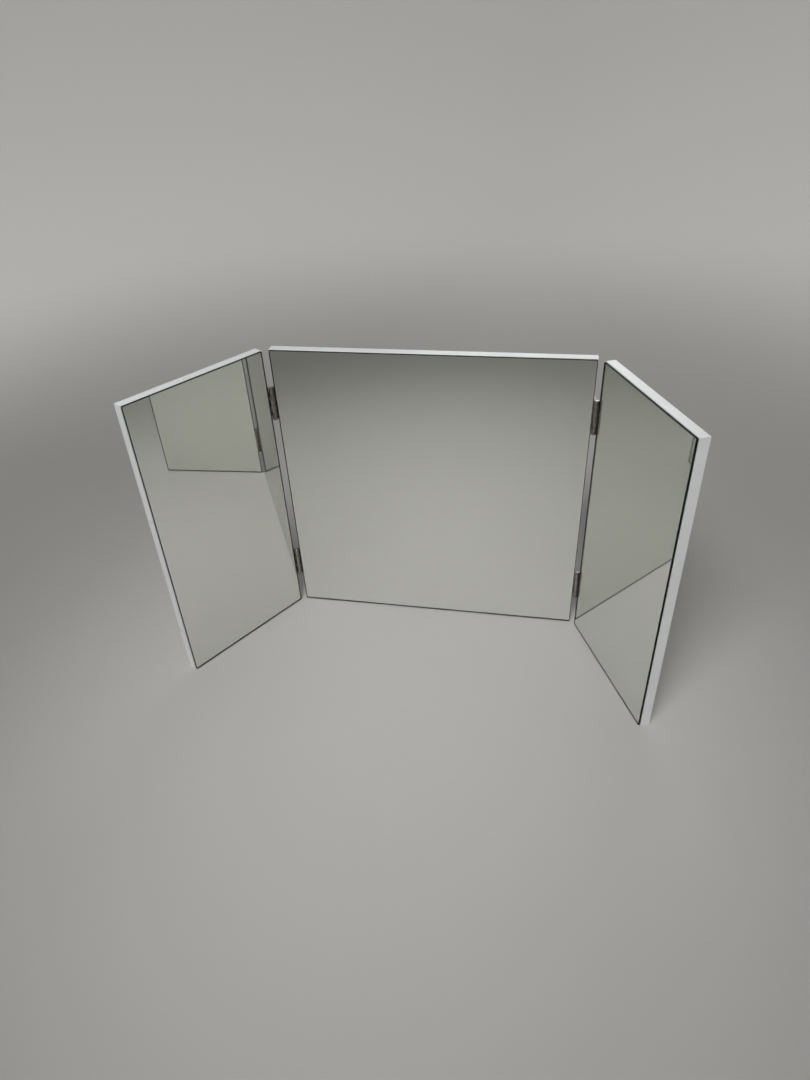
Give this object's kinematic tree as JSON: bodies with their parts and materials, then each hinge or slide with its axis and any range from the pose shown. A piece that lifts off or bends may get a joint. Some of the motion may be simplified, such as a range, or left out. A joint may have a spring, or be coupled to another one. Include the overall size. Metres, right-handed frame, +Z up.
{
  "type": "folding tri-fold mirror",
  "caption": "Free-standing frameless tri-fold mirror: a square centre mirror on a white board, with hinged mirrored wings that fold forward over it.",
  "frame": {"origin": "middle of the centre panel's bottom face, halfway through its board", "axes": "+X along the centre panel, +Z up, the mirrors face -Y and the wings fold forward towards -Y"},
  "size_m": [0.8359, 0.2669, 0.54],
  "materials": {
    "board_white": "white melamine-faced particle board, satin",
    "edging_white": "white ABS edge banding, satin gloss",
    "mirror_glass": "silvered float glass with polished edges",
    "mounting_tape": "grey double-sided foam tape",
    "hinge_steel": "dull plated steel",
    "hinge_pin_steel": "bright drawn steel",
    "screw_steel": "plated steel screws"
  },
  "bodies": {
    "centre": {"centre_board": "board_white", "centre_mirror_glass": "mirror_glass", "centre_mirror_tape": "mounting_tape", "centre_top_band": "edging_white", "centre_bottom_band": "edging_white", "centre_left_band": "edging_white", "centre_right_band": "edging_white", "centre_hinge_screws": "screw_steel", "left_upper_hinge_centre_leaf": "hinge_steel", "left_upper_hinge_pin": "hinge_pin_steel", "left_lower_hinge_centre_leaf": "hinge_steel", "left_lower_hinge_pin": "hinge_pin_steel", "right_upper_hinge_centre_leaf": "hinge_steel", "right_upper_hinge_pin": "hinge_pin_steel", "right_lower_hinge_centre_leaf": "hinge_steel", "right_lower_hinge_pin": "hinge_pin_steel"},
    "left_wing": {"left_wing_board": "board_white", "left_wing_mirror_glass": "mirror_glass", "left_wing_mirror_tape": "mounting_tape", "left_wing_top_band": "edging_white", "left_wing_bottom_band": "edging_white", "left_wing_inner_band": "edging_white", "left_wing_outer_band": "edging_white", "left_wing_hinge_screws": "screw_steel", "left_upper_hinge_wing_leaf": "hinge_steel", "left_lower_hinge_wing_leaf": "hinge_steel"},
    "right_wing": {"right_wing_board": "board_white", "right_wing_mirror_glass": "mirror_glass", "right_wing_mirror_tape": "mounting_tape", "right_wing_top_band": "edging_white", "right_wing_bottom_band": "edging_white", "right_wing_inner_band": "edging_white", "right_wing_outer_band": "edging_white", "right_wing_hinge_screws": "screw_steel", "right_upper_hinge_wing_leaf": "hinge_steel", "right_lower_hinge_wing_leaf": "hinge_steel"}
  },
  "joints": [
    {"name": "left_wing_fold", "type": "hinge", "parent": "centre", "child": "left_wing", "pos_m": [-0.2744, -0.0134, 0.27], "axis": [0, 0, 1], "range_deg": [-67, 121]},
    {"name": "right_wing_fold", "type": "hinge", "parent": "centre", "child": "right_wing", "pos_m": [0.2744, -0.0134, 0.27], "axis": [0, 0, -1], "range_deg": [-74, 114]}
  ]
}
